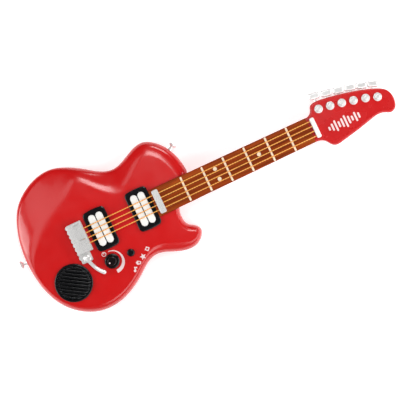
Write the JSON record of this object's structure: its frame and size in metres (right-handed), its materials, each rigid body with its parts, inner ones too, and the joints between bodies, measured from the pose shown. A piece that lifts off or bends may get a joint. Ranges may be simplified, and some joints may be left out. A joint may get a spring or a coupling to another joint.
{
  "type": "toy electric guitar",
  "caption": "Battery toy electric guitar: hollow single-cutaway body with speaker, volume knob, mode key and whammy bar, fretted neck, strings and tuner pegs.",
  "frame": {"origin": "on the flat back of the body, under the bridge, on the neck's centreline", "axes": "+X towards the headstock, +Y towards the tuning pegs, +Z out of the face with the strings; the guitar lies on its back"},
  "size_m": [0.7095, 0.2621, 0.0588],
  "materials": {
    "red_body": "glossy moulded red",
    "red_neck": "glossy moulded red",
    "fretboard_brown": "satin, printed wood grain",
    "cream": "satin",
    "white_trim": "satin",
    "silver_plastic": "silver sparkle",
    "chrome": "plated",
    "string_gold": "wound, golden",
    "black_gloss": "glossy",
    "knob_dark": "glossy",
    "print_white": "printed",
    "screw_steel": "zinc plated",
    "inner_black": "moulded",
    "switch_grey": "moulded",
    "board_green": "solder mask",
    "paper_cone": "pressed paper",
    "frame_steel": "pressed",
    "magnet_dark": "ferrite",
    "cell_metal": "sleeve",
    "contact_nickel": "nickel plated",
    "spring_steel": "bright",
    "lead_red": "wire insulation",
    "lead_black": "wire insulation"
  },
  "bodies": {
    "guitar": {"body_front_shell": "red_body", "body_back_shell": "red_body", "neck_back_shell": "red_neck", "headstock_front_shell": "red_neck", "fretboard": "fretboard_brown", "frets": "cream", "position_dots": "cream", "nut": "white_trim", "string_retainer": "silver_plastic", "string_1": "string_gold", "string_2": "string_gold", "string_3": "string_gold", "string_4": "string_gold", "bridge_pickup_bezel": "black_gloss", "bridge_pickup_bars": "white_trim", "neck_pickup_bezel": "black_gloss", "neck_pickup_bars": "white_trim", "bridge_base": "silver_plastic", "bridge_saddle_block": "silver_plastic", "whammy_collar": "silver_plastic", "whammy_return_spring": "spring_steel", "whammy_switch": "switch_grey", "volume_pot": "frame_steel", "mode_switch": "switch_grey", "speaker_grille": "black_gloss", "speaker_frame": "frame_steel", "speaker_cone": "paper_cone", "speaker_magnet": "magnet_dark", "main_board": "board_green", "board_components": "inner_black", "strum_sensor_board": "board_green", "battery_box": "inner_black", "aa_cells": "cell_metal", "battery_contacts": "contact_nickel", "strap_button_tail": "chrome", "strap_button_horn": "chrome", "tuner_posts": "silver_plastic", "headstock_badge": "print_white", "control_prints": "print_white", "body_screws": "screw_steel", "neck_screws": "screw_steel", "headstock_screws": "screw_steel", "speaker_leads": "lead_red", "battery_leads": "lead_black", "sensor_leads": "lead_black"},
    "whammy": {"whammy_bar": "silver_plastic"},
    "volume_control": {"volume_knob": "knob_dark", "knob_pointer_dot": "print_white", "volume_pot_shaft": "screw_steel"},
    "mode_key": {"mode_button": "black_gloss"},
    "tuner_1": {"tuning_peg_1": "silver_plastic"},
    "tuner_2": {"tuning_peg_2": "silver_plastic"},
    "tuner_3": {"tuning_peg_3": "silver_plastic"},
    "tuner_4": {"tuning_peg_4": "silver_plastic"},
    "tuner_5": {"tuning_peg_5": "silver_plastic"},
    "tuner_6": {"tuning_peg_6": "silver_plastic"},
    "battery_cover": {"battery_door": "red_body", "battery_door_screw": "screw_steel"}
  },
  "joints": [
    {"name": "whammy_swing", "type": "hinge", "parent": "guitar", "child": "whammy", "pos_m": [-0.0015, -0.0365, 0.05], "axis": [0, 0, 1], "range_deg": [-20, 12], "stiffness_Nm_per_rad": 0.05},
    {"name": "volume_turn", "type": "hinge", "parent": "guitar", "child": "volume_control", "pos_m": [0.0348, -0.0588, 0.045], "axis": [0, 0, 1], "range_deg": [-135, 135]},
    {"name": "mode_press", "type": "slide", "parent": "guitar", "child": "mode_key", "axis": [0, 0, -1], "range_m": [0, 0.0016], "stiffness_N_per_m": 400},
    {"name": "tuner_1_turn", "type": "hinge", "parent": "guitar", "child": "tuner_1", "pos_m": [0.47213, 0.05109, 0.033], "axis": [0.1392, 0.9903, 0], "continuous": true},
    {"name": "tuner_2_turn", "type": "hinge", "parent": "guitar", "child": "tuner_2", "pos_m": [0.49366, 0.04659, 0.033], "axis": [0.1736, 0.9848, 0], "continuous": true},
    {"name": "tuner_3_turn", "type": "hinge", "parent": "guitar", "child": "tuner_3", "pos_m": [0.51419, 0.04218, 0.033], "axis": [0.2079, 0.9781, 0], "continuous": true},
    {"name": "tuner_4_turn", "type": "hinge", "parent": "guitar", "child": "tuner_4", "pos_m": [0.53473, 0.03817, 0.033], "axis": [0.2504, 0.9681, 0], "continuous": true},
    {"name": "tuner_5_turn", "type": "hinge", "parent": "guitar", "child": "tuner_5", "pos_m": [0.55426, 0.03266, 0.033], "axis": [0.2924, 0.9563, 0], "continuous": true},
    {"name": "tuner_6_turn", "type": "hinge", "parent": "guitar", "child": "tuner_6", "pos_m": [0.57331, 0.02705, 0.033], "axis": [0.342, 0.9397, 0], "continuous": true},
    {"name": "battery_door_tilt", "type": "hinge", "parent": "guitar", "child": "battery_cover", "pos_m": [-0.0374, 0.052, 0.0016], "axis": [0, 1, 0], "range_deg": [0, 90]}
  ]
}
